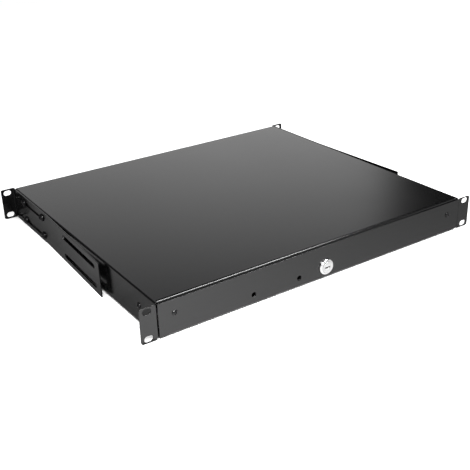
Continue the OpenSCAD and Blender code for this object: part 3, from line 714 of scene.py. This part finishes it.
def make_fascia_fasteners():
    """The screws through the drawer front and the tray, and their nuts."""
    x = FASCIA_HALF - FASCIA_SCREW_INSET
    places = [((side * x, FASCIA_FRONT, FASCIA_SCREW_Z), FRONT) for side in (-1, 1)]
    tray_back = -FASCIA_T - TRAY_T
    nut_back = tray_back - FASCIA_NUT_H
    set_of("fascia_screws", pan_screw(*FASCIA_SCREW, PAST_NUT - nut_back, turn=FASCIA_SCREW_TURN), places)
    set_of("fascia_nuts", hex_nut(FASCIA_NUT_W, nut_back, tray_back, FASCIA_BORE_R, FASCIA_PITCH), places)


# The lock, with Z out of the drawer front and 0 on the fascia's face
LOCK_SIDES = 96
BODY_R, FLAT_HALF, BODY_PITCH, BODY_THREAD_DEPTH = 7.9, 6.9, 1.0, 0.5
# The body's tapered end and the plain neck under the flange
END_TAPER, END_H, NECK_H = 0.6, 0.4, 0.4
# The flange's straight rim, and the face in front of its quarter round
RIM_H, FACE_R, ROUND_STEPS = 0.8, 7.2, 10
PLUG_R, PLUG_HEAD_H, PLUG_FIT = 5.8, 1.6, 0.08
# Chamfer around the bore for the plug's head
BORE_CHAMFER_W, BORE_CHAMFER_H = 0.15, 0.2
LOCK_NUT_W, LOCK_NUT_GAP = 20, 0.05
# The ring groove in the plug's face
GROOVE_R, GROOVE_HALF, GROOVE_DEPTH = 4.7, 0.4, 0.6
PLUG_EDGE, CAM_EDGE, STOP_EDGE = 0.2 * MM, 0.25 * MM, 0.15 * MM
LOCK_PLACE = ((0, FASCIA_FRONT, LOCK_Z), FRONT)


def flatted(radius, z):
    """A ring of the lock's body, cut by the flats above and below."""
    points = ring(radius, z, LOCK_SIDES)
    for point in points:
        point.y = max(-FLAT_HALF, min(FLAT_HALF, point.y))
    return points


def lock_housing_shape():
    """The threaded body with two flats, and its round flange with the plug's bore."""
    worm = thread(BODY_R, BODY_PITCH, BODY_THREAD_DEPTH)
    rings = [flatted(BODY_R - END_TAPER, -LOCK_LEN)]
    rings += [flatted(worm, z) for z in heights(END_H - LOCK_LEN, -NECK_H, BODY_PITCH / THREAD_STEPS)]
    rings += [flatted(BODY_R, z) for z in (-NECK_H / 2, 0)]
    outline = [(FLANGE_R - EDGE, 0), (FLANGE_R, EDGE)]
    for step in range(ROUND_STEPS + 1):
        angle = math.pi / 2 * step / ROUND_STEPS
        radius = FACE_R + (FLANGE_R - FACE_R) * math.cos(angle)
        outline.append((radius, RIM_H + (FLANGE_H - RIM_H) * math.sin(angle)))
    head_bore_r, plug_bore_r = PLUG_HEAD_R + PLUG_FIT, PLUG_R + PLUG_FIT
    seat = PLUG_FACE - PLUG_HEAD_H - PLUG_FIT
    outline += [(head_bore_r + BORE_CHAMFER_W, FLANGE_H), (head_bore_r, FLANGE_H - BORE_CHAMFER_H)]
    outline += [(head_bore_r, seat), (plug_bore_r, seat), (plug_bore_r, -LOCK_LEN)]
    return turned(rings + rings_of(outline, LOCK_SIDES), closed=True)


def face_groove():
    """The ring that is cut into the plug's face, where the plug is."""
    mouth = PLUG_FACE + GROOVE_HALF
    reach = GROOVE_HALF * (GROOVE_DEPTH + GROOVE_HALF) / GROOVE_DEPTH
    outline = ((GROOVE_R, PLUG_FACE - GROOVE_DEPTH), (GROOVE_R + reach, mouth), (GROOVE_R - reach, mouth))
    shape = turned(rings_of(outline, LOCK_SIDES), closed=True)
    bmesh.ops.transform(shape, matrix=seat_at(*LOCK_PLACE), verts=shape.verts)
    return shape


def make_lock():
    """The housing and its nut, and the plug, cam, stop washer and screw that turn in it."""
    set_of("lock_cam_screw", pan_screw(*CAM_SCREW, CAM_SCREW_LEN), [((0, CAM_STACK_BACK, LOCK_Z), BACK)])
    set_of("lock_housing", lock_housing_shape(), [LOCK_PLACE])
    tray_back = -FASCIA_T - TRAY_T
    nut = hex_nut(LOCK_NUT_W, tray_back - LOCK_NUT_H, tray_back, BODY_R + LOCK_NUT_GAP, BODY_PITCH)
    set_of("lock_nut", nut, [LOCK_PLACE])
    dressed("lock_plug", PLUG_EDGE, cutters=[face_groove()])
    dressed("lock_cam", CAM_EDGE)
    dressed("lock_stop_washer", STOP_EDGE)


# Radii of the sheet metal's edges, in metres
SHEET_EDGE, THIN_SHEET_EDGE, RAIL_EDGE = 0.25 * MM, 0.2 * MM, 0.15 * MM


def make_sheet_metal():
    for node in ("chassis_shell", "left_rear_bracket", "right_rear_bracket", "drawer_fascia"):
        dressed(node, SHEET_EDGE)
    for node in ("rear_panel", "drawer_tray"):
        dressed(node, THIN_SHEET_EDGE)
    for side in ("left", "right"):
        for member in ("outer", "middle", "inner"):
            dressed(f"{side}_{member}_slide", RAIL_EDGE)


make_sheet_metal()
make_panel_screws()
make_slide_screws()
make_bracket_fasteners()
make_fascia_fasteners()
make_lock()


# Floor, in metres. A span and its two values make a ramp.
FLOOR_SIZE, FLOOR_DROP = 30, 0.0002
FLOOR_ROUGH, FLOOR_SPECULAR = 0.9, 0.1
# The floor's own colour, and the colour of its painted shadow behind the left bracket's lower slot
FLOOR_WHITE, FLOOR_PAINTED_SHADOW = 0.8, 0.05
# Light that the open floor gives off towards the camera, and the width and depth of its contact shade
FLOOR_FILL, CONTACT_WIDTH, CONTACT_SAMPLES, CONTACT_SPAN = 0.85, 0.04, 12, (0.2, 0.5)
# What reflections see of the floor, graded with painted shade: less light to the right, and little to
# the left of the object, behind the ears
AHEAD = ((-0.2, 0.25), (0.64, 0.34))
SHADY = ((0.1, 0.2), (0.25, 0.49))
EARS = ((-0.008, -0.004), (1, 0))
LEFT_SIDE = ((-0.226, -0.222), (0, 1))
# The floor that shows through the left bracket's lower slot gets a painted shadow.
# Its outer edge slants along the bracket.
GAP_FRONT, GAP_REAR = 0.135, 0.238
GAP_OUTER = ((GAP_FRONT, GAP_REAR), (-0.224, -0.22))
GAP_OUTER_SOFT, GAP_SOFT = (-0.0008, 0), 0.005
GAP_INNER = -0.21


def make_floor(material):
    """A wide plane just under the object."""
    bm = bmesh.new()
    bmesh.ops.create_grid(bm, x_segments=2, y_segments=2, size=FLOOR_SIZE / 2)
    mesh = bpy.data.meshes.new("floor")
    bm.to_mesh(mesh)
    bm.free()
    mesh.materials.append(material)
    obj = bpy.data.objects.new("floor", mesh)
    obj.location = (0, 0, cad_box[0][2] - FLOOR_DROP)
    scene.collection.objects.link(obj)


def floor_material():
    """Pale and lit from within for the camera, with painted contact shade and a painted shadow behind the
    left bracket's lower slot, and graded with painted shade for reflections.
    """
    n = material("floor")
    path = n.add("ShaderNodeLightPath").outputs
    x, y, _ = n.axes(n.coords())
    # Painted shade on the floor that only reflections see, left of the object and behind it
    beside = n.combine("MAXIMUM", n.ramp(y, *SHADY), n.ramp(y, *EARS), n.ramp(x, *LEFT_SIDE))
    mirrored = n.combine("MULTIPLY", n.ramp(x, *AHEAD), beside)
    # Painted shadow behind the left bracket's lower slot: 1 there, where the floor turns dark and loses
    # its fill
    painted_slot_shadow = n.combine(
        "MULTIPLY",
        n.ramp(n.combine("SUBTRACT", x, n.ramp(y, *GAP_OUTER)), GAP_OUTER_SOFT, (0, 1)),
        n.ramp(x, (GAP_INNER, GAP_INNER + GAP_SOFT), (1, 0)),
        n.ramp(y, (GAP_FRONT - GAP_SOFT, GAP_FRONT), (0, 1)),
        n.ramp(y, (GAP_REAR, GAP_REAR + GAP_SOFT), (1, 0)),
    )
    seen = n.ramp(painted_slot_shadow, (0, 1), (FLOOR_WHITE, FLOOR_PAINTED_SHADOW))
    n.shade("Base Color", n.mix(path["Is Glossy Ray"], seen, mirrored, kind="FLOAT"))
    n.shade("Roughness", FLOOR_ROUGH)
    n.shade("Specular IOR Level", FLOOR_SPECULAR)
    n.shade("Emission Color", (1, 1, 1))
    # Painted contact shade: the fill fades where the floor lies close under the object
    outside = n.openness(CONTACT_WIDTH, CONTACT_SAMPLES, CONTACT_SPAN)
    fill = n.combine("MULTIPLY", outside, n.ramp(painted_slot_shadow, (0, 1), (1, 0)), FLOOR_FILL)
    n.shade("Emission Strength", n.combine("MULTIPLY", path["Is Camera Ray"], fill))
    return n.owner


make_floor(floor_material())


# The room, which only reflections show. A lift counts in degrees up from the horizon, and a turn
# in degrees from +Y towards +X. A span and its two values make a ramp.
# The white wall ends upwards in a dim ceiling
WALL = ((17, 35), (1, 0.012))
# The wall's bright part, between its soft ends, and its drift in brightness
BRIGHT_START = ((-1, 8), (0.012, 1))
BRIGHT_END = ((43.9, 46.6), (1, 0.012))
DRIFT = ((16, 32), (0.88, 1.16))
# The wall at both sides and behind the camera, and its dim stretch at the left of the bright part
AROUND = ((72, 110), (0, 0.8))
CORNER = ((-28, -10), (0.12, 0))
# Two dim panels, overhead and high on the left, that only other views see in the flat sheets
OVERHEAD = ((68, 84), (0, 0.45))
PANEL_LIFT = ((42, 58), (0, 0.45))
PANEL_TURNS = (((-135, -115), (0, 1)), ((-30, -15), (1, 0)))
# What diffuse light and the camera get instead
DIFFUSE_WORLD, CAMERA_WORLD = 0.12, 1
DEGREES = 180 / math.pi


def build_world():
    """White for the camera, dim and even for diffuse light, and the room for reflections."""
    scene.world = bpy.data.worlds.new("world")
    w = Nodes(scene.world, "Background")
    x, y, z = w.axes(w.add("ShaderNodeTexCoord").outputs["Generated"])
    lift = w.combine("MULTIPLY", w.combine("ARCSINE", z), DEGREES)
    turn = w.combine("MULTIPLY", w.combine("ARCTAN2", x, y), DEGREES)
    bright = w.combine("MULTIPLY", *(w.ramp(turn, *part) for part in (DRIFT, BRIGHT_START, BRIGHT_END)))
    around = w.ramp(w.combine("ABSOLUTE", turn), *AROUND)
    side = w.combine("MAXIMUM", bright, around, w.ramp(turn, *CORNER))
    wall = w.combine("MULTIPLY", w.ramp(lift, *WALL), side)
    panel = w.combine("MULTIPLY", w.ramp(lift, *PANEL_LIFT), *(w.ramp(turn, *end) for end in PANEL_TURNS))
    room = w.combine("MAXIMUM", wall, w.ramp(lift, *OVERHEAD), panel)
    path = w.add("ShaderNodeLightPath").outputs
    mirrored = w.combine("MAXIMUM", path["Is Glossy Ray"], path["Is Transmission Ray"])
    unseen = w.mix(mirrored, DIFFUSE_WORLD, room, kind="FLOAT")
    w.shade("Color", (1, 1, 1))
    w.shade("Strength", w.mix(path["Is Camera Ray"], unseen, CAMERA_WORLD, kind="FLOAT"))


build_world()

# Lights: place, size and aim in metres, power in watts and spread in degrees.
# The key is a strip that draws the bright line along the cover's front edge.
# The front one lifts the left end of the drawer front.
LIGHTS = {
    "key": ((0.4, -0.5, 1.15), (1.06, 0.22), (0, 0, 0), 20.5, 180),
    "front": ((-0.4, -0.42, 0.5), (0.3, 0.2), (-0.2, -0.12, -0.02), 4.2, 120),
}


def soft_light(name, place, size, aim, watts, spread):
    """A rectangular area light that faces its aim."""
    data = bpy.data.lights.new(name, "AREA")
    data.shape = "RECTANGLE"
    data.size, data.size_y = size
    data.energy = watts
    data.spread = math.radians(spread)
    light = bpy.data.objects.new(name, data)
    light.location = place
    light.rotation_euler = (Vector(aim) - Vector(place)).to_track_quat("-Z", "Y").to_euler()
    scene.collection.objects.link(light)


for name, light in LIGHTS.items():
    soft_light(name, *light)
